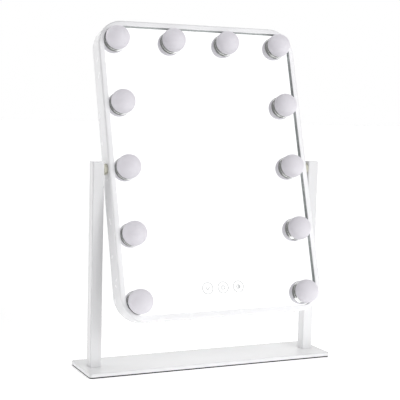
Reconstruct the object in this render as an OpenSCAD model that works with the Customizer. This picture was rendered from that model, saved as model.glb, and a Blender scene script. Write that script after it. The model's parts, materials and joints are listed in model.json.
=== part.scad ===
// Tabletop vanity mirror: a framed mirror head with lamps round its top and sides,
// tilting on two square posts that stand on a flat base.
// Millimetres, +Z up. The origin is on the resting surface, midway between the posts,
// and -Y is the side that the mirror faces.

/* [Mirror head] */
// Outside width of the frame
head_w = 346; // [320:1:350]
// Outside height of the frame
head_h = 472; // [420:1:500]
// Depth of the frame, from its rear rim to its bezel
head_depth = 30; // [29:0.5:36]
// Outside radius of the frame's corners
corner_r = 42; // [36:1:50]
// Width of the bezel's flat front
bezel_w = 9; // [7:0.5:11]
// Radius of the corners of the opening in the bezel
window_r = 26.5; // [20:0.5:26.5]
// Thickness of the frame's sheet metal
frame_wall = 1.5; // [1.2:0.1:2]
// Depth of the glass behind the front of the bezel
glass_recess = 4.5; // [3.5:0.5:5.5]
// Distance from the tilt axis to the front of the bezel
axis_to_front = 13; // [13:0.5:15]
// Angle that the head leans back at rest
head_lean = 16.7; // [0:0.1:25]

/* [Lamps] */
// Lamps in the row across the top
lamps_across = 4; // [3:1:4]
// Rows of lamps down each side, counting the top row
lamp_rows = 5; // [4:1:5]
// Distance from the frame's outside to the outer lamps' centres
lamp_inset = 30.25; // [29:0.25:36]
// Diameter of a frosted globe
globe_d = 38; // [36:0.5:40]
// Height of a globe's centre above the glass
globe_lift = 9.5; // [9:0.5:12]
// Height of a chrome collar above the glass
collar_h = 6; // [5.5:0.5:8]
// Diameter of a chrome collar's rim
collar_d = 36.6; // [34:0.2:36.6]

/* [Touch controls] */
// Distance between the centres of neighbouring touch marks
mark_pitch = 26.5; // [24:0.5:30]
// Outside diameter of a touch mark's ring
mark_d = 18.4; // [14:0.2:20]
// Height of the touch marks above the frame's lower edge
mark_rise = 45; // [40:1:55]

/* [Stand] */
// Width of the base plate
base_w = 420; // [410:1:440]
// Depth of the base plate
base_d = 92; // [80:1:110]
// Thickness of the base plate
plate_t = 5.5; // [5:0.5:8]
// Thickness of the foam pad under the base plate
pad_t = 2; // [1.5:0.5:3]
// Distance over the outsides of both posts
post_span = 394; // [392:1:400]
// Side of the square post tube
post_side = 18; // [18:0.5:20]
// Height of the posts' tops above the resting surface
post_top = 324; // [320:1:340]
// Height of the tilt axis above the resting surface
axis_height = 312; // [300:1:312]

/* [Hidden] */
$fn = 96;
eps = 0.01;

// How far back each layer of the head lies, measured from the tilt axis, + to the front
front = axis_to_front;
rear = front - head_depth;
flange_t = 1.5;
glass_t = 3;
glass_front = front - glass_recess;
glass_back = glass_front - glass_t;
carrier_t = 2;
carrier_back = glass_back - carrier_t;
cover_t = 2;
cover_front = rear + 1 + cover_t;
cover_back = rear + 1;
cover_gap = 0.3;

// Glass and carrier outlines, inside the frame's walls
glass_edge_gap = 5;
carrier_edge_gap = 4;
gasket_edge_gap = 2.5;

// Lamps: the top row from left to right, then down the left side, then down the right
lamp_x = head_w / 2 - lamp_inset;
lamp_y = head_h / 2 - lamp_inset;
lamp_dx = 2 * lamp_x / (lamps_across - 1);
lamp_dy = 2 * lamp_y / (lamp_rows - 1);
lamp_places = [
    for (c = [0 : lamps_across - 1]) [-lamp_x + c * lamp_dx, lamp_y],
    for (side = [-1, 1]) for (r = [1 : lamp_rows - 1]) [side * lamp_x, lamp_y - r * lamp_dy]
];
lamp_count = len(lamp_places);
globe_r = globe_d / 2;
globe_wall = 1.5;
rim_r = collar_d / 2;
rim_wall = 1.3;
collar_foot_r = rim_r + 0.3;
collar_flange = 0.9;
collar_step = 0.2;
collar_floor = 1.6;
stem_r = 8;
stem_bore_r = 5;
stem_hole_r = stem_r + 0.5;
stem_length = 10;
neck_r = rim_r - rim_wall - 0.1;
neck_length = 4;
board_r = 14;
board_t = 1.6;
lamp_nut_r = 11.5;
lamp_nut_h = 4;

// Touch marks and what lies behind them
mark_y = -head_h / 2 + mark_rise;
mark_x = [-mark_pitch, 0, mark_pitch];
mark_t = 0.2;
mark_line = 0.8;
glyph_r = 3.4;
electrode_r = 5;
electrode_window_r = 8;
control_board = [112, 40];
control_board_front = carrier_back - 4.5;
control_board_back = control_board_front - board_t;
control_post_x = control_board.x / 2 - 5;
control_post_y = control_board.y / 2 - 5;

// Rear cover's screws, mirrored into the four quarters
cover_screw_quarter = [[95, 224], [160, 154]];
cover_screw_places = [
    for (p = cover_screw_quarter) for (sx = [-1, 1]) for (sy = [-1, 1])
        [sx * p.x * head_w / 346, sy * p.y * head_h / 472]
];
cover_boss_r = 4;
cover_screw_r = 1.5;
cover_screw_length = 10;
cover_screw_head_r = 3;

// Direct-current inlet on the rear cover
jack_place = [70, mark_y - 18];
jack_barrel_r = 5.5;
jack_flange_r = 7.5;
jack_flange_t = 1.5;
jack_depth = 11;
jack_bore_r = 2.85;
jack_bore_depth = 9;
jack_pin_r = 1.05;

// Wiring behind the carrier
wire_r = 1.5;
wire_depth = -7;
lead_depth = -5.2;
lead_y = mark_y - 13;
wire_inset = 21;
wire_x = lamp_x - wire_inset;
wire_y = lamp_y - wire_inset;

// Tilt pivots, measured outwards from the middle of the mirror
post_in = post_span / 2 - post_side;
post_wall = 1.5;
post_edge_r = 1.8;
post_x = post_span / 2 - post_side / 2;
head_side = head_w / 2;
bolt_r = 3;
bolt_head_r = 5;
bolt_head_h = 4;
running_gap = 0.05;
bush_r = 4.5;
bush_flange_r = 7;
bush_flange_t = 1.5;
spring_t = 1.4;
spring_r = 6;
friction_r = 8.5;
friction_gap = 0.15;
head_gap = 0.1;
bolt_head_in = post_in + post_wall + bush_flange_t + spring_t + head_gap;
bracket_t = 3;
bracket_boss_h = 5.5;
bracket_boss_r = 5.2;
bracket_length = 56;
bolt_tip = head_side - frame_wall - bracket_t - bracket_boss_h + 1;

// Stand
base_corner_r = 5;
pad_inset = 0.8;
plate_top = pad_t + plate_t;
cap_t = 1.5;
cap_plug_h = 3;
cap_gap = 0.15;
foot_block_h = 14;
base_screw_r = 2;
base_screw_pitch = 8.6;
base_screw_head_r = 3.9;
base_screw_head_h = 2.2;
base_screw_length = 12;
pad_hole_r = 5;

// Names of all the sub-parts
lamp_names = [for (part = ["lamp_globe_", "lamp_collar_"]) for (i = [1 : lamp_count]) str(part, i)];
mark_names = ["touch_mark_dim", "touch_mark_power", "touch_mark_tone"];
side_names = [
    for (side = ["left", "right"])
        for (part = ["post", "post_cap", "foot_block", "pivot_bush", "spring_washer",
                     "friction_washer", "pivot_bolt", "pivot_bracket"])
            str(side, "_", part)
];

// ---------- Helpers ----------

// A rectangle with true round corners
module round_rect(w, h, r) {
    square([w - 2 * r, h], center = true);
    square([w, h - 2 * r], center = true);
    for (sx = [-1, 1]) for (sy = [-1, 1])
        translate([sx * (w / 2 - r), sy * (h / 2 - r)]) circle(r);
}

// A rounded slab between two levels
module slab(w, h, r, low, high) {
    translate([0, 0, low]) linear_extrude(high - low) round_rect(w, h, r);
}

// A slab that follows the frame's outline, inset by a margin
module head_slab(inset, low, high) {
    slab(head_w - 2 * inset, head_h - 2 * inset, corner_r - inset, low, high);
}

// A slab that fills the opening in the bezel
module window_slab(low, high) {
    slab(head_w - 2 * bezel_w, head_h - 2 * bezel_w, window_r, low, high);
}

// Puts children, drawn with the mirror facing +Z and the tilt axis along X, on the stand
module on_head() {
    translate([0, 0, axis_height]) rotate([90 - head_lean, 0, 0]) children();
}

// Repeats children at the lamps, with +Z out of the glass
module at_lamps() {
    for (p = lamp_places) translate([p.x, p.y, glass_front]) children();
}

module at_lamp(i) {
    translate([lamp_places[i - 1].x, lamp_places[i - 1].y, glass_front]) children();
}

// Draws children for the right-hand side, or mirrored for the left
module on_side(side) {
    mirror([side == "left" ? 1 : 0, 0, 0]) children();
}

// A rod along +X between two distances from the middle, on the tilt axis
module axis_rod(r, from, to) {
    translate([from, 0, 0]) rotate([0, 90, 0]) cylinder(r = r, h = to - from);
}

// A straight run of wire with round ends
module wire_run(from, to) {
    run = to - from;
    length = norm(run);
    translate(from) {
        sphere(wire_r, $fn = 24);
        rotate([0, acos(run.z / length), atan2(run.y, run.x)]) cylinder(r = wire_r, h = length, $fn = 24);
    }
    translate(to) sphere(wire_r, $fn = 24);
}

// ---------- Stand ----------

module at_base_screws() {
    for (side = [-1, 1]) for (end = [-1, 1])
        translate([side * post_x, end * base_screw_pitch / 2, pad_t]) children();
}

module base_screw_shape(gap) {
    cylinder(r = base_screw_r + gap, h = base_screw_length);
    cylinder(r1 = base_screw_head_r + gap, r2 = base_screw_r + gap, h = base_screw_head_h);
}

module base_plate() {
    color("white") difference() {
        slab(base_w, base_d, base_corner_r, pad_t, plate_top);
        at_base_screws() translate([0, 0, -eps]) base_screw_shape(0.1);
    }
}

module base_pad() {
    color("dimgray") difference() {
        slab(base_w - 2 * pad_inset, base_d - 2 * pad_inset, base_corner_r - pad_inset, 0, pad_t);
        at_base_screws() translate([0, 0, -2 * pad_t]) cylinder(r = pad_hole_r, h = 3 * pad_t);
    }
}

module base_screws() {
    color("silver") at_base_screws() difference() {
        base_screw_shape(0);
        translate([0, 0, -eps]) cylinder(r = 1.4, h = 1.2, $fn = 6);
    }
}

module post() {
    color("white") difference() {
        translate([post_x, 0, plate_top]) difference() {
            linear_extrude(post_top - cap_t - plate_top) round_rect(post_side, post_side, post_edge_r);
            translate([0, 0, -eps]) linear_extrude(post_top)
                square(post_side - 2 * post_wall, center = true);
        }
        translate([0, 0, axis_height]) axis_rod(bush_r + 0.02, post_in - 1, post_in + post_wall + 1);
    }
}

module post_cap() {
    plug = post_side - 2 * post_wall - 2 * cap_gap;
    color("white") translate([post_x, 0, post_top - cap_t]) {
        linear_extrude(cap_t) round_rect(post_side, post_side, post_edge_r);
        translate([0, 0, -cap_plug_h]) linear_extrude(cap_plug_h + eps) difference() {
            square(plug, center = true);
            square(plug - 3, center = true);
        }
    }
}

module foot_block() {
    block = post_side - 2 * post_wall;
    color("gray") translate([post_x, 0, plate_top]) difference() {
        translate([-block / 2, -block / 2, 0]) cube([block, block, foot_block_h]);
        for (end = [-1, 1]) translate([0, end * base_screw_pitch / 2, -1])
            cylinder(r = base_screw_r + 0.02, h = base_screw_length);
    }
}

// ---------- Tilt pivots ----------

module pivot_bush() {
    color("ivory") translate([0, 0, axis_height]) difference() {
        union() {
            axis_rod(bush_r, post_in, post_in + post_wall + eps);
            axis_rod(bush_flange_r, post_in + post_wall, post_in + post_wall + bush_flange_t);
        }
        axis_rod(bolt_r + running_gap, post_in - 1, post_in + 10);
    }
}

module spring_washer() {
    start = post_in + post_wall + bush_flange_t;
    color("silver") translate([0, 0, axis_height]) difference() {
        axis_rod(spring_r, start, start + spring_t);
        axis_rod(bolt_r + 0.3, start - 1, start + spring_t + 1);
    }
}

module friction_washer() {
    color("beige") translate([0, 0, axis_height]) difference() {
        axis_rod(friction_r, head_side + friction_gap, post_in);
        axis_rod(bolt_r + 0.3, head_side - 1, post_in + 1);
    }
}

module pivot_bolt() {
    color("silver") translate([0, 0, axis_height]) rotate([90 - head_lean, 0, 0]) difference() {
        union() {
            axis_rod(bolt_r, bolt_tip, bolt_head_in + eps);
            axis_rod(bolt_head_r, bolt_head_in, bolt_head_in + bolt_head_h);
        }
        translate([bolt_head_in + bolt_head_h - 2, 0, 0])
            rotate([0, 90, 0]) cylinder(r = 2.3, h = 3, $fn = 6);
    }
}

module pivot_bracket() {
    wall_in = head_side - frame_wall;
    low = -bracket_t - bracket_boss_h;
    color("gray") on_head() difference() {
        union() {
            translate([wall_in - bracket_t, -bracket_length / 2, -12])
                cube([bracket_t, bracket_length, 17.2]);
            axis_rod(bracket_boss_r, wall_in + low, wall_in - bracket_t + eps);
        }
        axis_rod(bolt_r + 0.02, wall_in + low - 1, wall_in + 1);
    }
}

// ---------- Mirror head ----------

module frame_ring() {
    color("white") on_head() difference() {
        head_slab(0, rear, front);
        head_slab(frame_wall, rear - 1, front - flange_t);
        window_slab(rear - 2, front + 1);
        for (side = [-1, 1]) translate([side * head_side, 0, 0]) rotate([0, 90, 0])
            cylinder(r = bolt_r + 0.2, h = 4 * frame_wall, center = true);
    }
}

module glass_gasket() {
    color("darkgray") on_head() difference() {
        head_slab(gasket_edge_gap, glass_front, front - flange_t);
        window_slab(glass_front - 1, front);
    }
}

module mirror_glass() {
    color("lightblue") on_head() difference() {
        head_slab(glass_edge_gap, glass_back, glass_front);
        at_lamps() cylinder(r = stem_hole_r, h = 4 * glass_t, center = true);
    }
}

// Backing sheet with bosses for the cover's screws and the control board
module mirror_carrier() {
    notch_w = 12;
    color("gainsboro") on_head() difference() {
        union() {
            head_slab(carrier_edge_gap, carrier_back, glass_back);
            for (p = cover_screw_places) translate([p.x, p.y, cover_front])
                cylinder(r = cover_boss_r, h = carrier_back - cover_front + eps);
            for (sx = [-1, 1]) for (sy = [-1, 1])
                translate([sx * control_post_x, mark_y + sy * control_post_y, control_board_front])
                    cylinder(r = 3, h = carrier_back - control_board_front + eps);
        }
        for (p = cover_screw_places) translate([p.x, p.y, cover_front - 1]) cylinder(r = 1.52, h = 12);
        for (p = lamp_places) translate([p.x, p.y, carrier_back - 1]) cylinder(r = stem_hole_r, h = 4);
        for (x = mark_x) translate([x, mark_y, carrier_back - 1]) cylinder(r = electrode_window_r, h = 4);
        for (side = [-1, 1]) translate([side * head_side, 0, glass_back - 1])
            cube([2 * notch_w, bracket_length + 8, 4 * carrier_t], center = true);
    }
}

module cover_screw_shape(gap) {
    cylinder(r = cover_screw_r + gap, h = cover_screw_length);
    cylinder(r1 = cover_screw_head_r + gap, r2 = cover_screw_r + gap, h = 1.5);
}

module rear_cover() {
    panel_margin = 34;
    color("white") on_head() difference() {
        union() {
            head_slab(frame_wall + cover_gap, cover_back, cover_front);
            head_slab(panel_margin, cover_back - 0.8, cover_back + eps);
        }
        for (p = cover_screw_places) translate([p.x, p.y, cover_back - eps]) cover_screw_shape(0.15);
        translate([jack_place.x, jack_place.y, cover_back - 2]) cylinder(r = jack_barrel_r + 0.1, h = 6);
        translate([jack_place.x, jack_place.y, cover_back - 2]) cylinder(r = jack_flange_r + 0.5, h = 2);
    }
}

module cover_screws() {
    color("silver") on_head() for (p = cover_screw_places)
        translate([p.x, p.y, cover_back]) difference() {
            cover_screw_shape(0);
            for (turn = [0, 90]) rotate(turn) cube([3.2, 0.7, 1.6], center = true);
        }
}

// ---------- Lamps ----------

module lamp_globe(i) {
    color("lavender") on_head() at_lamp(i) difference() {
        union() {
            intersection() {
                translate([0, 0, globe_lift]) sphere(globe_r);
                translate([0, 0, collar_h]) cylinder(r = globe_r + 1, h = globe_d);
            }
            translate([0, 0, collar_h - neck_length]) cylinder(r = neck_r, h = neck_length + eps);
        }
        intersection() {
            translate([0, 0, globe_lift]) sphere(globe_r - globe_wall);
            translate([0, 0, globe_lift]) cylinder(r = globe_r + 1, h = globe_d);
        }
        translate([0, 0, collar_h - neck_length - 1])
            cylinder(r = neck_r - globe_wall, h = neck_length + 1 + globe_lift - collar_h + eps);
    }
}

module lamp_collar(i) {
    color("silver") on_head() at_lamp(i) rotate_extrude() polygon([
        [stem_bore_r, -stem_length], [stem_r, -stem_length], [stem_r, 0],
        [collar_foot_r, 0], [collar_foot_r, collar_flange], [rim_r, collar_flange + collar_step],
        [rim_r, collar_h], [rim_r - rim_wall, collar_h], [rim_r - rim_wall, collar_floor],
        [stem_bore_r, collar_floor]
    ]);
}

module lamp_nuts() {
    under = -glass_t - carrier_t;
    color("gold") on_head() at_lamps() translate([0, 0, under - lamp_nut_h]) difference() {
        cylinder(r = lamp_nut_r, h = lamp_nut_h, $fn = 6);
        translate([0, 0, -1]) cylinder(r = stem_r + 0.02, h = lamp_nut_h + 2);
    }
}

// Round boards in the collars, each with a ring of light-emitting chips
module led_boards() {
    chip = 3.5;
    color("honeydew") on_head() at_lamps() translate([0, 0, collar_floor]) {
        cylinder(r = board_r, h = board_t);
        for (turn = [0 : 60 : 300]) rotate(turn)
            translate([board_r * 0.62 - chip / 2, -chip / 2, board_t - eps]) cube([chip, chip, 0.8]);
    }
}

module lamp_wiring() {
    bottom = -lamp_y;
    plug_x = control_board.x / 2 - 4;
    color("firebrick") on_head() {
        for (side = [-1, 1]) {
            wire_run([side * plug_x, mark_y, wire_depth], [side * wire_x, mark_y, wire_depth]);
            wire_run([side * wire_x, bottom, wire_depth], [side * wire_x, wire_y, wire_depth]);
            for (r = [1 : lamp_rows - 1]) {
                y = lamp_y - r * lamp_dy;
                wire_run([side * wire_x, y, wire_depth], [side * lamp_x, y, wire_depth]);
                wire_run([side * lamp_x, y, wire_depth], [side * lamp_x, y, glass_front]);
            }
        }
        wire_run([-lamp_x, wire_y, wire_depth], [lamp_x, wire_y, wire_depth]);
        for (c = [0 : lamps_across - 1]) {
            x = -lamp_x + c * lamp_dx;
            wire_run([x, wire_y, wire_depth], [x, lamp_y, wire_depth]);
            wire_run([x, lamp_y, wire_depth], [x, lamp_y, glass_front]);
        }
        jack_back = [jack_place.x, jack_place.y, cover_back + jack_depth + wire_r + 0.1];
        lead_bend = [jack_place.x - 8, lead_y - 2, jack_back.z];
        wire_run(jack_back, lead_bend);
        wire_run(lead_bend, [plug_x, lead_y, lead_depth]);
    }
}

// ---------- Controls and power ----------

module control_board_unit() {
    color("seagreen") on_head() translate([0, mark_y, control_board_back]) {
        linear_extrude(board_t) square(control_board, center = true);
        for (side = [-1, 1]) translate([side * 46 - 4, -4, -5]) cube([8, 8, 5 + eps]);
        translate([42, -17, -4]) cube([8, 8, 4 + eps]);
        translate([-30, -8, -2]) cube([12, 12, 2 + eps]);
        translate([8, -12, -4]) cube([14, 14, 4 + eps]);
        translate([30, 8, -7]) cylinder(r = 4, h = 7 + eps);
        translate([30, -4, -7]) cylinder(r = 4, h = 7 + eps);
    }
}

module touch_electrodes() {
    color("goldenrod") on_head() for (x = mark_x) translate([x, mark_y, 0]) {
        translate([0, 0, glass_back - 0.5]) cylinder(r = electrode_r + 2, h = 0.5);
        translate([0, 0, control_board_front])
            cylinder(r = electrode_r, h = glass_back - 0.5 - control_board_front + eps);
    }
}

module mark_ring() {
    difference() {
        circle(mark_d / 2);
        circle(mark_d / 2 - mark_line);
    }
}

module on_mark(i) {
    color("lightgray") on_head() translate([mark_x[i], mark_y, glass_front]) linear_extrude(mark_t) {
        mark_ring();
        children();
    }
}

// A bar between two points of a mark
module mark_bar(from, to) {
    run = to - from;
    translate(from) rotate(atan2(run.y, run.x)) translate([0, -mark_line / 2])
        square([norm(run), mark_line]);
}

module touch_mark_dim() {
    on_mark(0) {
        mark_bar([-3.2, 2.2], [0, -2.8]);
        mark_bar([0, -2.8], [3.2, 2.2]);
        translate([0, -2.8]) circle(mark_line / 2);
    }
}

module touch_mark_power() {
    on_mark(1) {
        difference() {
            circle(glyph_r);
            circle(glyph_r - mark_line);
            translate([-1.5, 0]) square([3, 5]);
        }
        mark_bar([0, 0.6], [0, 4.2]);
    }
}

module touch_mark_tone() {
    on_mark(2) difference() {
        circle(glyph_r);
        intersection() {
            circle(glyph_r - mark_line);
            translate([-glyph_r, -glyph_r]) square([glyph_r, 2 * glyph_r]);
        }
    }
}

module dc_jack() {
    color("black") on_head() translate([jack_place.x, jack_place.y, cover_back]) {
        difference() {
            union() {
                translate([0, 0, -jack_flange_t]) cylinder(r = jack_flange_r, h = jack_flange_t);
                translate([0, 0, -eps]) cylinder(r = jack_barrel_r, h = jack_depth);
            }
            translate([0, 0, -jack_flange_t - 1]) cylinder(r = jack_bore_r, h = jack_bore_depth + 1);
        }
        cylinder(r = jack_pin_r, h = jack_bore_depth);
    }
}

module dc_jack_nut() {
    color("silver") on_head() translate([jack_place.x, jack_place.y, cover_front]) difference() {
        cylinder(r = 8, h = 2.5, $fn = 6);
        translate([0, 0, -1]) cylinder(r = jack_barrel_r + 0.02, h = 5);
    }
}

// ---------- The whole mirror ----------

base_plate();
base_pad();
base_screws();
for (side = ["left", "right"]) on_side(side) {
    post();
    post_cap();
    foot_block();
    pivot_bush();
    spring_washer();
    friction_washer();
    pivot_bolt();
    pivot_bracket();
}
frame_ring();
glass_gasket();
mirror_glass();
mirror_carrier();
rear_cover();
cover_screws();
lamp_nuts();
led_boards();
lamp_wiring();
control_board_unit();
touch_electrodes();
dc_jack();
dc_jack_nut();
touch_mark_dim();
touch_mark_power();
touch_mark_tone();
for (i = [1 : lamp_count]) {
    lamp_globe(i);
    lamp_collar(i);
}
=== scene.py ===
"""Looks of the lighted vanity mirror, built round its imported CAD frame. All lengths are in metres."""

import json
import math

import bmesh
import bpy
from mathutils import Matrix, Vector


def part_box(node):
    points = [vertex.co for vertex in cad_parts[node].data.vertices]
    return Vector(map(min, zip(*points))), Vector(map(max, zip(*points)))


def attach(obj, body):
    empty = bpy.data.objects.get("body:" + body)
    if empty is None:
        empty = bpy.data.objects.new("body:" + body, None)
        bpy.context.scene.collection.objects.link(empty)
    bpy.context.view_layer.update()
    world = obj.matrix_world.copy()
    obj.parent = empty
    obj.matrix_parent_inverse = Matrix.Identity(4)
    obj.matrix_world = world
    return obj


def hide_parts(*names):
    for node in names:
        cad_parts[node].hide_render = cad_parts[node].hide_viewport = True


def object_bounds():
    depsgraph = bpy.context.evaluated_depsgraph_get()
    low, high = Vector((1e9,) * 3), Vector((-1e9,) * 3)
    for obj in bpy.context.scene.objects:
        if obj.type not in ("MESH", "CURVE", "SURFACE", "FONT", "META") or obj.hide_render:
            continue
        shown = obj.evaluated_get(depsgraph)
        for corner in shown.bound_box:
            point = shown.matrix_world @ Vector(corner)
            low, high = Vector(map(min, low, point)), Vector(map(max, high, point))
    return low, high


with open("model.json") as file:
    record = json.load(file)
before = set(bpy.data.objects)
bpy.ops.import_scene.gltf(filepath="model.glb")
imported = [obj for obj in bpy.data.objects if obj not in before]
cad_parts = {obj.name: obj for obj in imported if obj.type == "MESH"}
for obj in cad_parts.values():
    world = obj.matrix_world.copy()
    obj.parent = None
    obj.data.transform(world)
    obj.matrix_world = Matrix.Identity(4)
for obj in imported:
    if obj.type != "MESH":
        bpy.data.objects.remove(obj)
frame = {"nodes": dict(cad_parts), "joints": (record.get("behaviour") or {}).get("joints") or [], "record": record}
CAD_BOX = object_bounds()
MM = 0.001

# ---------- Camera: the photograph's viewing angle ----------

CAMERA_PLACE = (-0.7111, -1.4925, 0.4204)
CAMERA_YAW = 25.03  # degrees, from +Y towards +X
CAMERA_PITCH = -5.49
CAMERA_ROLL = 1.48
CAMERA_LENS_MM = 93.55
CAMERA_SENSOR_MM = 36


def make_camera():
    """The camera, turned by yaw, pitch and roll from looking level along +Y."""
    yaw, pitch, roll = (math.radians(a) for a in (CAMERA_YAW, CAMERA_PITCH, CAMERA_ROLL))
    ahead = Vector((math.sin(yaw) * math.cos(pitch), math.cos(yaw) * math.cos(pitch), math.sin(pitch)))
    level_right = Vector((math.cos(yaw), -math.sin(yaw), 0))
    level_up = level_right.cross(ahead)
    right = level_right * math.cos(roll) + level_up * math.sin(roll)
    up = level_up * math.cos(roll) - level_right * math.sin(roll)
    data = bpy.data.cameras.new("camera")
    data.lens = CAMERA_LENS_MM
    data.sensor_width = CAMERA_SENSOR_MM
    camera = bpy.data.objects.new("camera", data)
    turn = Matrix((right, up, -ahead)).transposed().to_4x4()
    camera.matrix_world = Matrix.Translation(CAMERA_PLACE) @ turn
    bpy.context.scene.collection.objects.link(camera)
    bpy.context.scene.camera = camera


# ---------- Places read from the frame ----------


def head_matrix():
    """From the head's axes, with the mirror facing +Z and the tilt axis along X, to the scene's."""
    axis_height = frame["joints"][0]["pos_m"][2]
    faces = frame["nodes"]["mirror_glass"].data.polygons
    normal = max(faces, key=lambda f: f.area).normal
    lean = math.atan2(abs(normal.z), abs(normal.y))
    return Matrix.Translation((0, 0, axis_height)) @ Matrix.Rotation(math.pi / 2 - lean, 4, "X")


HEAD = head_matrix()
STAND = Matrix.Identity(4)


def head_box(node):
    """Lowest and highest corner of a CAD node in the head's axes."""
    to_head = HEAD.inverted()
    points = [to_head @ v.co for v in frame["nodes"][node].data.vertices]
    low = Vector(min(p[i] for p in points) for i in range(3))
    high = Vector(max(p[i] for p in points) for i in range(3))
    return low, high


# ---------- Node helpers for materials ----------

# Noise stays mostly between these two values
NOISE_LOW = 0.3
NOISE_HIGH = 0.7


class Paint:
    """A material under construction: its node tree, its shader and short ways to add nodes."""

    def __init__(self, name, color, roughness, metallic=0.0):
        self.material = bpy.data.materials.new(name)
        self.material.use_nodes = True
        self.tree = self.material.node_tree
        self.shader = self.tree.nodes["Principled BSDF"]
        self.set("Base Color", (*color, 1))
        self.set("Roughness", roughness)
        self.set("Metallic", metallic)
        self.color = color
        self.place = self.tree.nodes.new("ShaderNodeTexCoord").outputs["Object"]

    def set(self, socket, value):
        """Sets a socket of the shader."""
        self.shader.inputs[socket].default_value = value

    def link(self, output, socket):
        self.tree.links.new(output, socket)

    def noise(self, per_metre, detail, stretch=None):
        """Noise in the object's own space, with that many cells to the metre."""
        node = self.tree.nodes.new("ShaderNodeTexNoise")
        node.inputs["Scale"].default_value = per_metre
        node.inputs["Detail"].default_value = detail
        place = self.place
        if stretch:
            mapping = self.tree.nodes.new("ShaderNodeMapping")
            mapping.inputs["Scale"].default_value = stretch
            self.link(place, mapping.inputs["Vector"])
            place = mapping.outputs["Vector"]
        self.link(place, node.inputs["Vector"])
        return node.outputs["Fac"]

    def cells(self, per_metre):
        """Rounded cells, as in foam."""
        node = self.tree.nodes.new("ShaderNodeTexVoronoi")
        node.inputs["Scale"].default_value = per_metre
        self.link(self.place, node.inputs["Vector"])
        return node.outputs["Distance"]

    def vary_color(self, value, darker, lighter):
        """The colour drifts between two multiples of itself."""
        node = self.tree.nodes.new("ShaderNodeValToRGB")
        ends = ((NOISE_LOW, darker), (NOISE_HIGH, lighter))
        for stop, (place, share) in zip(node.color_ramp.elements, ends):
            stop.position = place
            stop.color = (*(min(1, c * share) for c in self.color), 1)
        self.link(value, node.inputs["Fac"])
        self.link(node.outputs["Color"], self.shader.inputs["Base Color"])

    def vary_roughness(self, value, low, high):
        """The roughness drifts between low and high."""
        node = self.tree.nodes.new("ShaderNodeMapRange")
        ends = {"From Min": NOISE_LOW, "From Max": NOISE_HIGH, "To Min": low, "To Max": high}
        for name, number in ends.items():
            node.inputs[name].default_value = number
        self.link(value, node.inputs["Value"])
        self.link(node.outputs["Result"], self.shader.inputs["Roughness"])

    def bump(self, value, height, strength):
        """Surface relief of that height, in metres."""
        node = self.tree.nodes.new("ShaderNodeBump")
        node.inputs["Distance"].default_value = height
        node.inputs["Strength"].default_value = strength
        self.link(value, node.inputs["Height"])
        self.link(node.outputs["Normal"], self.shader.inputs["Normal"])


def powder_coat(name, color, roughness, coat):
    """Baked white paint: faint orange peel, and a sheen that drifts a little."""
    p = Paint(name, color, roughness)
    p.vary_color(p.noise(per_metre=9, detail=3), darker=0.985, lighter=1.01)
    p.vary_roughness(p.noise(per_metre=60, detail=4), low=roughness * 0.85, high=roughness * 1.2)
    p.bump(p.noise(per_metre=700, detail=1), height=0.02 * MM, strength=0.25)
    p.set("Coat Weight", coat)
    p.set("Coat Roughness", 0.1)
    p.set("Specular IOR Level", 0.5)
    return p.material


def frosted_plastic_with_painted_glow():
    """Sand-finished milky plastic: light goes a little way into it, and a faint painted glow lightens it all over.
    """
    p = Paint("frosted_globe", (0.47, 0.46, 0.485), roughness=0.45)
    p.vary_color(p.noise(per_metre=40, detail=3), darker=0.985, lighter=1.015)
    p.vary_roughness(p.noise(per_metre=900, detail=2), low=0.4, high=0.52)
    p.bump(p.noise(per_metre=2600, detail=2), height=0.02 * MM, strength=0.3)
    # Painted glow: the lamps are off, and this faint emission stands in for light scattered through the plastic,
    # evening out the globes' shading.
    p.set("Emission Color", (0.96, 0.93, 1.0, 1))
    p.set("Emission Strength", 0.28)
    p.set("Subsurface Weight", 0.15)
    p.set("Subsurface Radius", (1.0, 0.9, 1.0))
    p.set("Subsurface Scale", 6 * MM)
    p.set("Specular IOR Level", 0.4)
    return p.material


def chrome_plate():
    """Bright plating, with a reflection that is a little soft."""
    p = Paint("chrome_collar", (0.93, 0.94, 0.93), roughness=0.14, metallic=1.0)
    p.vary_roughness(p.noise(per_metre=300, detail=3), low=0.11, high=0.18)
    p.vary_color(p.noise(per_metre=25, detail=2), darker=0.97, lighter=1.02)
    return p.material


def silvered_glass():
    """The mirror: nearly perfect, with a trace of haze."""
    p = Paint("mirror_silver", (0.985, 0.99, 0.99), roughness=0.004, metallic=1.0)
    p.vary_roughness(p.noise(per_metre=14, detail=4), low=0.0, high=0.012)
    p.vary_color(p.noise(per_metre=3, detail=2), darker=0.995, lighter=1.0)
    return p.material


def foam(name, color, cells_per_metre, depth):
    """Closed-cell foam: cut cells all over."""
    p = Paint(name, color, roughness=0.85)
    cells = p.cells(cells_per_metre)
    p.vary_color(p.noise(per_metre=cells_per_metre / 6, detail=2), darker=0.8, lighter=1.2)
    p.vary_roughness(p.noise(per_metre=cells_per_metre / 2, detail=1), low=0.75, high=0.95)
    p.bump(cells, height=depth, strength=0.6)
    return p.material


def moulded_plastic(name, color, roughness, grain=1300):
    """Moulded plastic with a fine spark-eroded grain."""
    p = Paint(name, color, roughness)
    p.vary_color(p.noise(per_metre=30, detail=3), darker=0.985, lighter=1.01)
    p.vary_roughness(p.noise(per_metre=grain / 3, detail=2), low=roughness * 0.85, high=roughness * 1.15)
    p.bump(p.noise(per_metre=grain, detail=2), height=0.04 * MM, strength=0.5)
    return p.material


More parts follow.
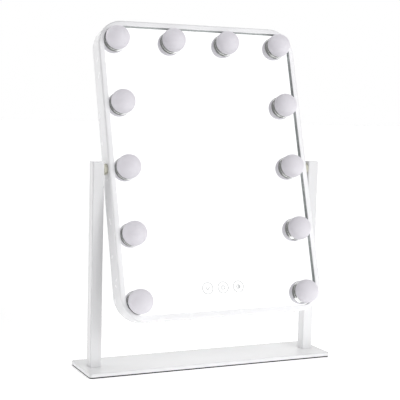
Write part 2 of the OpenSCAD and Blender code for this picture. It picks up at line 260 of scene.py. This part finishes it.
def worked_metal(name, color, roughness, streaks=(1, 1, 12)):
    """Plated or turned metal with fine tool streaks."""
    p = Paint(name, color, roughness, metallic=1.0)
    p.vary_color(p.noise(per_metre=160, detail=3, stretch=streaks), darker=0.9, lighter=1.05)
    streaked = p.noise(per_metre=500, detail=3, stretch=streaks)
    p.vary_roughness(streaked, low=roughness * 0.7, high=roughness * 1.4)
    p.bump(p.noise(per_metre=1500, detail=2, stretch=streaks), height=0.01 * MM, strength=0.5)
    return p.material


TRACKS_FROM = 0.72  # a track shows where the wave is higher than this


def circuit_board(name, mask, copper, tracks):
    """Solder mask with paler tracks showing through it."""
    p = Paint(name, mask, roughness=0.35)
    wave = p.tree.nodes.new("ShaderNodeTexWave")
    wave.inputs["Scale"].default_value = tracks
    wave.inputs["Distortion"].default_value = 6
    wave.inputs["Detail"].default_value = 1
    p.link(p.place, wave.inputs["Vector"])
    ramp = p.tree.nodes.new("ShaderNodeValToRGB")
    ramp.color_ramp.interpolation = "CONSTANT"
    ramp.color_ramp.elements[0].color = (*mask, 1)
    ramp.color_ramp.elements[1].position = TRACKS_FROM
    ramp.color_ramp.elements[1].color = (*copper, 1)
    p.link(wave.outputs["Fac"], ramp.inputs["Fac"])
    p.link(ramp.outputs["Color"], p.shader.inputs["Base Color"])
    p.vary_roughness(p.noise(per_metre=400, detail=2), low=0.28, high=0.42)
    p.bump(wave.outputs["Fac"], height=0.03 * MM, strength=0.5)
    return p.material


def etched_mark():
    """Etched lines in the glass, which show as a faint grey."""
    p = Paint("etched_mark", (0.55, 0.56, 0.57), roughness=0.5)
    p.vary_color(p.noise(per_metre=1500, detail=2), darker=0.96, lighter=1.03)
    p.bump(p.noise(per_metre=4000, detail=2), height=0.01 * MM, strength=0.5)
    return p.material


def make_materials():
    """One material for each of the record's slots: a colour, then a roughness, then what is special."""
    long_streaks = (1, 10, 10)
    turned_streaks = (8, 1, 1)
    lamp_board = {"mask": (0.78, 0.79, 0.76), "copper": (0.86, 0.72, 0.25), "tracks": 220}
    control_board = {"mask": (0.02, 0.16, 0.07), "copper": (0.05, 0.3, 0.12), "tracks": 160}
    dark_cells = {"cells_per_metre": 1400, "depth": 0.2 * MM}
    fine_cells = {"cells_per_metre": 1800, "depth": 0.1 * MM}
    return {
        "white_stand": powder_coat("gloss_white", (0.78, 0.78, 0.79), 0.16, coat=0.35),
        "white_frame": powder_coat("satin_white", (0.875, 0.875, 0.89), 0.24, coat=0.25),
        "foam": foam("dark_foam", (0.025, 0.025, 0.027), **dark_cells),
        "gasket": foam("gasket_foam", (0.58, 0.62, 0.61), **fine_cells),
        "zinc_screw": worked_metal("zinc_plate", (0.62, 0.63, 0.64), 0.3),
        "spring_steel": worked_metal("spring_steel", (0.42, 0.42, 0.44), 0.35, long_streaks),
        "steel": worked_metal("plain_steel", (0.5, 0.5, 0.52), 0.42, turned_streaks),
        "nylon": moulded_plastic("natural_nylon", (0.60, 0.59, 0.50), 0.4),
        "mirror": silvered_glass(),
        "carrier": moulded_plastic("carrier_plastic", (0.68, 0.68, 0.68), 0.5),
        "rear_panel": moulded_plastic("rear_plastic", (0.80, 0.80, 0.80), 0.42, grain=900),
        "brass": worked_metal("plated_brass", (0.75, 0.6, 0.3), 0.28),
        "led_board": circuit_board("lamp_board", **lamp_board),
        "wire": moulded_plastic("wire_cover", (0.5, 0.04, 0.03), 0.38, grain=500),
        "circuit_board": circuit_board("control_board", **control_board),
        "black_plastic": moulded_plastic("black_plastic", (0.03, 0.03, 0.032), 0.4),
        "mark": etched_mark(),
        "frosted_globe": frosted_plastic_with_painted_glow(),
        "chrome": chrome_plate(),
    }


# ---------- Mesh building ----------

SHARP_FROM = 32  # degrees: an edge that bends more than this stays sharp
NORMAL_WEIGHT = 80  # how much the larger faces count in the shading of a corner
# Steps along a panel's corner, along a small edge and all round a turned piece
CORNER_STEPS = 20
EDGE_STEPS = 4
ROUND_STEPS = 96
AXIS_REACH = 1e-7  # a profile's point nearer than this is on the axis
WINDOW_REACH = 1 * MM  # a profile's point nearer than this belongs to the opening


def rounded(points, steps=EDGE_STEPS):
    """A profile with its corners rounded: points are (a, b, corner radius)."""
    made = []
    count = len(points)
    for i, (a, b, radius) in enumerate(points):
        here = Vector((a, b))
        if radius == 0:
            made.append((a, b))
            continue
        before = Vector(points[i - 1][:2]) - here
        after = Vector(points[(i + 1) % count][:2]) - here
        half = before.angle(after) / 2
        reach = radius / math.tan(half)
        inward = (before.normalized() + after.normalized()).normalized()
        centre = here + inward * (radius / math.sin(half))
        start = here + before.normalized() * reach - centre
        end = here + after.normalized() * reach - centre
        sweep = start.angle_signed(end)
        for k in range(steps + 1):
            turned = Matrix.Rotation(-sweep * k / steps, 2) @ start
            made.append(tuple(centre + turned))
    return made


def outline(width, height, radius, steps=CORNER_STEPS):
    """Points round a rectangle with round corners, centred on the origin."""
    made = []
    for corner, (sx, sy) in enumerate(((1, 1), (-1, 1), (-1, -1), (1, -1))):
        for k in range(steps + 1):
            angle = math.radians(90 * (corner + k / steps))
            made.append((
                sx * (width / 2 - radius) + radius * math.cos(angle),
                sy * (height / 2 - radius) + radius * math.sin(angle),
            ))
    return made


def finished(name, mesh_tool, to_scene, body, nodes, slot, sharp_from=SHARP_FROM):
    """Turns a bmesh into a piece that rides on a body and stands for CAD nodes."""
    mesh = bpy.data.meshes.new(name)
    bmesh.ops.recalc_face_normals(mesh_tool, faces=mesh_tool.faces)
    mesh_tool.to_mesh(mesh)
    mesh_tool.free()
    mesh.transform(to_scene)
    mesh.shade_smooth()
    mesh.set_sharp_from_angle(angle=math.radians(sharp_from))
    mesh.materials.append(MATERIALS[slot])
    piece = bpy.data.objects.new(name, mesh)
    bpy.context.scene.collection.objects.link(piece)
    weighted = piece.modifiers.new("weighted_normals", "WEIGHTED_NORMAL")
    weighted.keep_sharp = True
    weighted.weight = NORMAL_WEIGHT
    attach(piece, body)
    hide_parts(*nodes)
    return piece


def add_rings(tool, rings, close_round=False):
    """Skins neighbouring rings of points with quads; close_round also joins the last to the first."""
    loops = [[tool.verts.new(p) for p in ring] for ring in rings]
    count = len(loops[0])
    pairs = list(zip(loops, loops[1:]))
    if close_round:
        pairs.append((loops[-1], loops[0]))
    for low, high in pairs:
        for i in range(count):
            j = (i + 1) % count
            tool.faces.new((low[i], low[j], high[j], high[i]))
    return loops


def swept_frame(tool, width, height, radius, profile, window_inset, window_radius):
    """A closed profile of (inset, level) swept round a rectangle with round corners.

    Where the profile is near window_inset, its corners follow the opening's own radius.
    """
    rings = []
    for inset, level in profile:
        corner = radius - inset
        if abs(inset - window_inset) < WINDOW_REACH:
            corner = window_radius + window_inset - inset
        points = outline(width - 2 * inset, height - 2 * inset, corner)
        rings.append([(x, y, level) for x, y in points])
    add_rings(tool, rings, close_round=True)


def slab(tool, width, height, radius, levels, centre=(0, 0)):
    """A solid slab whose outline is inset by (inset, level) steps from bottom to top."""
    rings = [
        [
            (x + centre[0], y + centre[1], level)
            for x, y in outline(width - 2 * inset, height - 2 * inset, radius - inset)
        ]
        for inset, level in levels
    ]
    loops = add_rings(tool, rings)
    tool.faces.new(loops[0][::-1])
    tool.faces.new(loops[-1])


def eased(low, high, edge_low, edge_high, steps=EDGE_STEPS):
    """(inset, level) steps up a wall whose bottom and top edges are rounded."""
    made = []
    for k in range(steps + 1):
        angle = math.pi / 2 * k / steps
        made.append((edge_low * (1 - math.sin(angle)), low + edge_low * (1 - math.cos(angle))))
    for k in range(steps + 1):
        angle = math.pi / 2 * k / steps
        made.append((edge_high * (1 - math.cos(angle)), high - edge_high * (1 - math.sin(angle))))
    return made


def lathe(tool, profile, segments=ROUND_STEPS, closed=True):
    """A profile of (radius, height) turned round Z. Points on the axis become one vertex."""
    loops = []
    for radius, height in profile:
        if radius < AXIS_REACH:
            loops.append([tool.verts.new((0, 0, height))])
        else:
            loops.append([
                tool.verts.new((
                    radius * math.cos(2 * math.pi * i / segments),
                    radius * math.sin(2 * math.pi * i / segments),
                    height,
                ))
                for i in range(segments)
            ])
    pairs = list(zip(loops, loops[1:]))
    if closed:
        pairs.append((loops[-1], loops[0]))
    for low, high in pairs:
        for i in range(segments):
            j = (i + 1) % segments
            corners = [low[i % len(low)], low[j % len(low)], high[j % len(high)], high[i % len(high)]]
            kept = list(dict.fromkeys(corners))
            if len(kept) > 2:
                tool.faces.new(kept)


# ---------- The mirror head ----------

FLANGE = 1.5 * MM
FRAME_WALL = 1.5 * MM
CORNER_RADIUS = 42 * MM
BEZEL = 9 * MM
WINDOW_RADIUS = 26.5 * MM
# Edge radii of the frame and of the gasket
FRONT_EDGE = 3 * MM
WINDOW_EDGE = 0.5 * MM
FLANGE_EDGE = 0.3 * MM
REAR_EDGE = 0.4 * MM
GASKET_EDGE = 0.3 * MM


def make_frame_shell():
    """The frame's side wall, bezel and flange, as one closed shell."""
    low, high = head_box("frame_ring")
    rear, front = low.z, high.z
    profile = rounded([
        (0, rear, REAR_EDGE),
        (0, front, FRONT_EDGE),
        (BEZEL, front, WINDOW_EDGE),
        (BEZEL, front - FLANGE, FLANGE_EDGE),
        (FRAME_WALL, front - FLANGE, 0),
        (FRAME_WALL, rear, REAR_EDGE),
    ])
    tool = bmesh.new()
    swept_frame(tool, high.x - low.x, high.y - low.y, CORNER_RADIUS, profile, BEZEL, WINDOW_RADIUS)
    finished("frame_shell", tool, HEAD, "head", ["frame_ring"], "white_frame")


def make_gasket():
    """The strip that shows as a thin line round the glass."""
    low, high = head_box("glass_gasket")
    frame_low, frame_high = head_box("frame_ring")
    margin = low.x - frame_low.x
    profile = rounded([
        (margin, low.z, 0),
        (margin, high.z, 0),
        (BEZEL, high.z, GASKET_EDGE),
        (BEZEL, low.z, GASKET_EDGE),
    ])
    tool = bmesh.new()
    width, height = frame_high.x - frame_low.x, frame_high.y - frame_low.y
    swept_frame(tool, width, height, CORNER_RADIUS, profile, BEZEL, WINDOW_RADIUS)
    finished("gasket_strip", tool, HEAD, "head", ["glass_gasket"], "gasket")


def lamp_numbers():
    """The numbers at the ends of the lamps' node names."""
    return sorted(int(n.rsplit("_", 1)[1]) for n in frame["nodes"] if n.startswith("lamp_globe_"))


GLOBE_WALL = 1.5 * MM
GLOBE_STEPS = 40
GLOBE_SHARP_FROM = 50  # degrees
RIM_WALL = 1.3 * MM
RIM_EDGE = 0.3 * MM
STEM_RADIUS = 8 * MM
STEM_EDGE = 0.3 * MM
STEM_BORE = 5 * MM
COLLAR_FLOOR = 1.6 * MM
# The collar's foot stands out a little from its band
FOOT_HEIGHT = 0.9 * MM
FOOT_STEP = 0.2 * MM
FOOT_REACH = 0.3 * MM
FOOT_EDGE = 0.1 * MM
NECK_LENGTH = 4 * MM
NECK_GAP = 0.1 * MM


def arc(radius, lift, start, end, steps):
    """Points (radius, height) on a circle centred on the axis, at the height of lift."""
    angles = [start + (end - start) * k / steps for k in range(steps + 1)]
    return [(radius * math.cos(a), lift + radius * math.sin(a)) for a in angles]


def make_lamp(number):
    """One lamp's chrome collar with its stem, and the hollow globe that sits in it."""
    collar_low, collar_high = head_box(f"lamp_collar_{number}")
    globe_low, globe_high = head_box(f"lamp_globe_{number}")
    glass = head_box("mirror_glass")[1].z
    centre = (collar_low + collar_high) / 2
    place = HEAD @ Matrix.Translation((centre.x, centre.y, glass))
    foot = (collar_high.x - collar_low.x) / 2
    rim = foot - FOOT_REACH
    height = collar_high.z - glass
    stem = collar_low.z - glass

    profile = rounded([
        (STEM_BORE, stem, 0),
        (STEM_RADIUS, stem, STEM_EDGE),
        (STEM_RADIUS, 0, 0),
        (foot, 0, FOOT_EDGE),
        (foot, FOOT_HEIGHT, FOOT_EDGE),
        (rim, FOOT_HEIGHT + FOOT_STEP, FOOT_EDGE),
        (rim, height, RIM_EDGE),
        (rim - RIM_WALL, height, RIM_EDGE),
        (rim - RIM_WALL, COLLAR_FLOOR, 0),
        (STEM_BORE, COLLAR_FLOOR, 0),
    ])
    tool = bmesh.new()
    lathe(tool, profile)
    finished(f"collar_ring_{number}", tool, place, "head", [f"lamp_collar_{number}"], "chrome")

    radius = (globe_high.x - globe_low.x) / 2
    lift = globe_high.z - glass - radius
    neck = rim - RIM_WALL - NECK_GAP
    inner = radius - GLOBE_WALL
    below = math.asin((height - lift) / radius)
    outside = arc(radius, lift, math.pi / 2, below, GLOBE_STEPS)
    inside = arc(inner, lift, 0, math.pi / 2, GLOBE_STEPS // 2)
    profile = outside + [
        (neck, height),
        (neck, height - NECK_LENGTH),
        (neck - GLOBE_WALL, height - NECK_LENGTH),
        (neck - GLOBE_WALL, lift),
    ] + inside
    tool = bmesh.new()
    lathe(tool, profile, closed=False)
    nodes = [f"lamp_globe_{number}"]
    finished(f"globe_dome_{number}", tool, place, "head", nodes, "frosted_globe", GLOBE_SHARP_FROM)


# ---------- The stand ----------

PLATE_CORNER = 5 * MM
PLATE_EDGES = (0.4 * MM, 1.2 * MM)  # lower and upper
POST_WALL = 1.5 * MM
POST_CORNER = 1.8 * MM
POST_INNER_CORNER = 0.2 * MM
POST_CORNER_STEPS = 6
POST_EDGE = 0.15 * MM
LID_THICKNESS = 1.5 * MM
LID_EDGES = (0.15 * MM, 0.6 * MM)  # lower and upper
PLUG_GAP = 0.3 * MM
PLUG_CORNER = 0.4 * MM
PLUG_EDGES = (0.3 * MM, 0.01 * MM)  # lower and upper
SPACER_BORE = 3.3 * MM
SPACER_BORE_EDGE = 0.2 * MM
SPACER_EDGE = 0.6 * MM
SPACER_STEPS = 64
# A groove runs round the middle of the spacer: its lip and its floor are shares of the thickness
GROOVE_LIP = 0.42
GROOVE_FLOOR = 0.46
GROOVE_EDGE = 0.1 * MM


def make_base():
    """The flat plate with its upper edge rounded."""
    low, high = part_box("base_plate")
    tool = bmesh.new()
    slab(tool, high.x - low.x, high.y - low.y, PLATE_CORNER, eased(low.z, high.z, *PLATE_EDGES))
    finished("base_slab", tool, STAND, "stand", ["base_plate"], "white_stand")


def make_post(side):
    """A square tube, and the lid whose plug closes its top."""
    low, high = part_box(f"{side}_post")
    width = high.x - low.x
    centre = ((low.x + high.x) / 2, 0)
    tool = bmesh.new()
    outside = eased(low.z, high.z, POST_EDGE, POST_EDGE, 1)
    levels = outside + [(POST_WALL, high.z), (POST_WALL, low.z)]
    rings = []
    for inset, level in levels:
        radius = max(POST_CORNER - inset, POST_INNER_CORNER)
        points = outline(width - 2 * inset, width - 2 * inset, radius, POST_CORNER_STEPS)
        rings.append([(x + centre[0], y, level) for x, y in points])
    add_rings(tool, rings, close_round=True)
    finished(f"post_tube_{side}", tool, STAND, "stand", [f"{side}_post"], "white_stand")

    low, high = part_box(f"{side}_post_cap")
    under = high.z - LID_THICKNESS
    tool = bmesh.new()
    slab(tool, width, width, POST_CORNER, eased(under, high.z, *LID_EDGES), centre)
    plug = width - 2 * POST_WALL - PLUG_GAP
    slab(tool, plug, plug, PLUG_CORNER, eased(low.z, under, *PLUG_EDGES), centre)
    finished(f"post_lid_{side}", tool, STAND, "stand", [f"{side}_post_cap"], "white_stand")


def make_spacer(side):
    """The friction washer between a post and the head."""
    low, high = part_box(f"{side}_friction_washer")
    thick = high.x - low.x
    radius = (high.z - low.z) / 2
    profile = rounded([
        (SPACER_BORE, 0, SPACER_BORE_EDGE),
        (radius, 0, SPACER_EDGE),
        (radius, thick * GROOVE_LIP, GROOVE_EDGE),
        (radius - SPACER_EDGE, thick * GROOVE_FLOOR, GROOVE_EDGE),
        (radius - SPACER_EDGE, thick * (1 - GROOVE_FLOOR), GROOVE_EDGE),
        (radius, thick * (1 - GROOVE_LIP), GROOVE_EDGE),
        (radius, thick, SPACER_EDGE),
        (SPACER_BORE, thick, SPACER_BORE_EDGE),
    ])
    tool = bmesh.new()
    lathe(tool, profile, SPACER_STEPS)
    place = Matrix.Translation((low.x, 0, (low.z + high.z) / 2)) @ Matrix.Rotation(math.pi / 2, 4, "Y")
    finished(f"spacer_{side}", tool, place, "stand", [f"{side}_friction_washer"], "nylon")


# ---------- CAD nodes that stay ----------


def dress_cad_nodes():
    """Gives every CAD node the material of its slot in the record."""
    slots = {row["node"]: row["material_slot"] for row in frame["record"]["subparts"]}
    for name, node in frame["nodes"].items():
        node.data.materials.clear()
        node.data.materials.append(MATERIALS[slots[name]])
        node.data.polygons.foreach_set("material_index", [0] * len(node.data.polygons))


# ---------- Studio ----------

# Soft lights as smooth patches of the sky: azimuth from the front towards the right, elevation,
# full radius and outer radius, all in degrees, then strength. The last one shines from below
SOFT_LIGHTS = (
    (32, 27, 15, 36, 0.98),
    (-120, 34, 10, 38, 1.6),
    (178, 10, 20, 60, 0.9),
    (0, -90, 62, 78, 0.8),
)
SKY = 0.2
# The key light shapes the white parts and the globes, and stays out of the chrome and the mirror
KEY_AZIMUTH = 25
KEY_ELEVATION = 24
KEY_DISTANCE = 1.8
KEY_SIZE = 1.0
KEY_WATTS = 15.5
# The floor runs from a little in front of the mirror to far behind it, and glows faintly to look white
FLOOR_FRONT = -0.9
FLOOR_BACK = 16
FLOOR_WIDTH = 24
FLOOR_GLOW = 0.42
WHITE = (1, 1, 1, 1)


def heading(azimuth, elevation):
    """Unit vector at an azimuth from the front towards the right, and an elevation, in degrees."""
    a, e = math.radians(azimuth), math.radians(elevation)
    return Vector((math.sin(a) * math.cos(e), -math.cos(a) * math.cos(e), math.sin(e)))


def make_sky():
    """A dim sky with soft patches of light; the camera sees it as plain white."""
    world = bpy.data.worlds.new("studio")
    bpy.context.scene.world = world
    world.use_nodes = True
    tree = world.node_tree
    direction = tree.nodes.new("ShaderNodeTexCoord").outputs["Generated"]
    total = None
    for azimuth, elevation, full, outer, strength in SOFT_LIGHTS:
        dot = tree.nodes.new("ShaderNodeVectorMath")
        dot.operation = "DOT_PRODUCT"
        dot.inputs[1].default_value = heading(azimuth, elevation)
        tree.links.new(direction, dot.inputs[0])
        patch = tree.nodes.new("ShaderNodeMapRange")
        patch.interpolation_type = "SMOOTHSTEP"
        patch.inputs["From Min"].default_value = math.cos(math.radians(outer))
        patch.inputs["From Max"].default_value = math.cos(math.radians(full))
        patch.inputs["To Max"].default_value = strength
        tree.links.new(dot.outputs["Value"], patch.inputs["Value"])
        added = tree.nodes.new("ShaderNodeMath")
        tree.links.new(patch.outputs["Result"], added.inputs[0])
        if total is None:
            added.inputs[1].default_value = SKY
        else:
            tree.links.new(total, added.inputs[1])
        total = added.outputs["Value"]
    lit = tree.nodes["Background"]
    tree.links.new(total, lit.inputs["Strength"])
    lit.inputs["Color"].default_value = WHITE
    plain = tree.nodes.new("ShaderNodeBackground")
    plain.inputs["Color"].default_value = WHITE
    seen = tree.nodes.new("ShaderNodeLightPath").outputs["Is Camera Ray"]
    mix = tree.nodes.new("ShaderNodeMixShader")
    tree.links.new(seen, mix.inputs["Fac"])
    tree.links.new(lit.outputs["Background"], mix.inputs[1])
    tree.links.new(plain.outputs["Background"], mix.inputs[2])
    tree.links.new(mix.outputs["Shader"], tree.nodes["World Output"].inputs["Surface"])


def make_key_light():
    """A broad disk of light that faces the middle of the mirror."""
    away = heading(KEY_AZIMUTH, KEY_ELEVATION)
    data = bpy.data.lights.new("key", "AREA")
    data.shape = "DISK"
    data.size = KEY_SIZE
    data.energy = KEY_WATTS
    light = bpy.data.objects.new("key", data)
    light.location = Vector((0, 0, CAD_BOX[1][2] / 2)) + away * KEY_DISTANCE
    light.rotation_euler = away.to_track_quat("Z", "Y").to_euler()
    light.visible_glossy = False
    bpy.context.scene.collection.objects.link(light)


def make_floor():
    """A flat white floor under the mirror."""
    tool = bmesh.new()
    half = FLOOR_WIDTH / 2
    corners = ((-half, FLOOR_FRONT), (half, FLOOR_FRONT), (half, FLOOR_BACK), (-half, FLOOR_BACK))
    tool.faces.new([tool.verts.new((x, y, 0)) for x, y in corners])
    mesh = bpy.data.meshes.new("floor")
    tool.to_mesh(mesh)
    tool.free()
    p = Paint("floor_white", (0.93, 0.93, 0.93), roughness=0.6)
    p.vary_roughness(p.noise(per_metre=5, detail=2), low=0.55, high=0.65)
    p.set("Emission Color", WHITE)
    p.set("Emission Strength", FLOOR_GLOW)
    mesh.materials.append(p.material)
    floor = bpy.data.objects.new("floor", mesh)
    bpy.context.scene.collection.objects.link(floor)


# ---------- Put together ----------

make_camera()
MATERIALS = make_materials()
dress_cad_nodes()
make_frame_shell()
make_gasket()
for number in lamp_numbers():
    make_lamp(number)
make_base()
for side in ("left", "right"):
    make_post(side)
    make_spacer(side)
make_sky()
make_key_light()
make_floor()
bpy.context.scene.view_settings.view_transform = "Standard"
